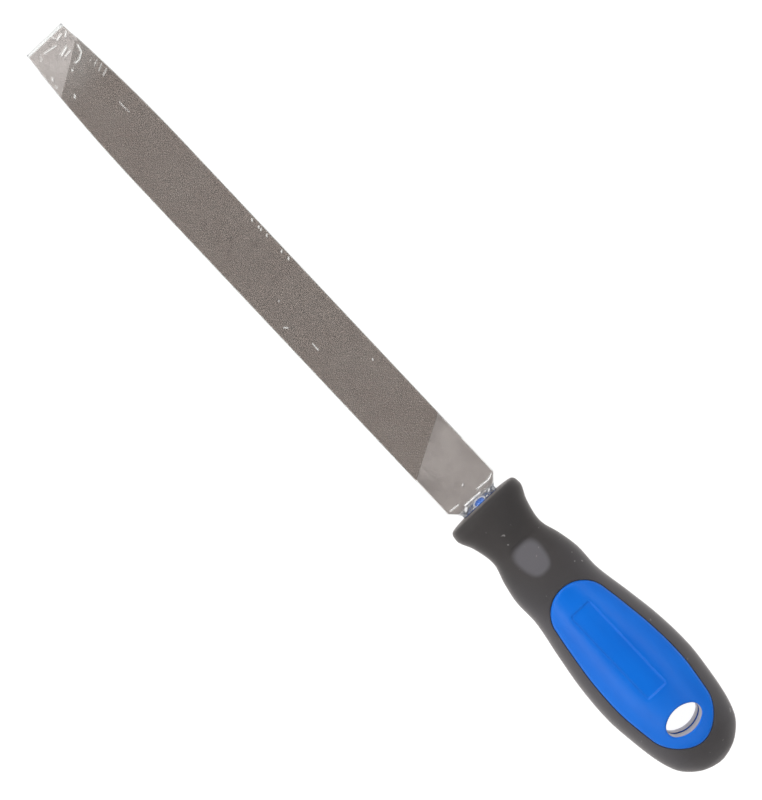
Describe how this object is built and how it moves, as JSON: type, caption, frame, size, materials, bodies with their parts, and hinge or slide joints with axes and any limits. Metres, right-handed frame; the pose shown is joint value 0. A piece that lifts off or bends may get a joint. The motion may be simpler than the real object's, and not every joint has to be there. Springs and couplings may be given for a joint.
{
  "type": "flat file",
  "caption": "Flat hand file for metal with a blue and black moulded handle, a hang hole and a clear pull-off sleeve over the blade.",
  "frame": {"origin": "centre of the bounding box of the whole file in its sleeve, on the middle plane of the blade", "axes": "+X along the file from the handle towards the blade tip, +Y across the width, +Z normal to the cut faces"},
  "size_m": [0.3198, 0.036, 0.0258],
  "materials": {
    "steel": "cut, hardened and lightly oiled",
    "hard_plastic": "satin gloss, moulded",
    "soft_grip": "matte, fine moulded grain",
    "film": "thin clear film"
  },
  "bodies": {
    "file": {"file_blade": "steel", "handle_core": "hard_plastic", "handle_grip": "soft_grip"},
    "sleeve": {"blade_sleeve": "film"}
  },
  "joints": [
    {"name": "sleeve_slide", "type": "slide", "parent": "file", "child": "sleeve", "axis": [1, 0, 0], "range_m": [0, 0.205]}
  ]
}
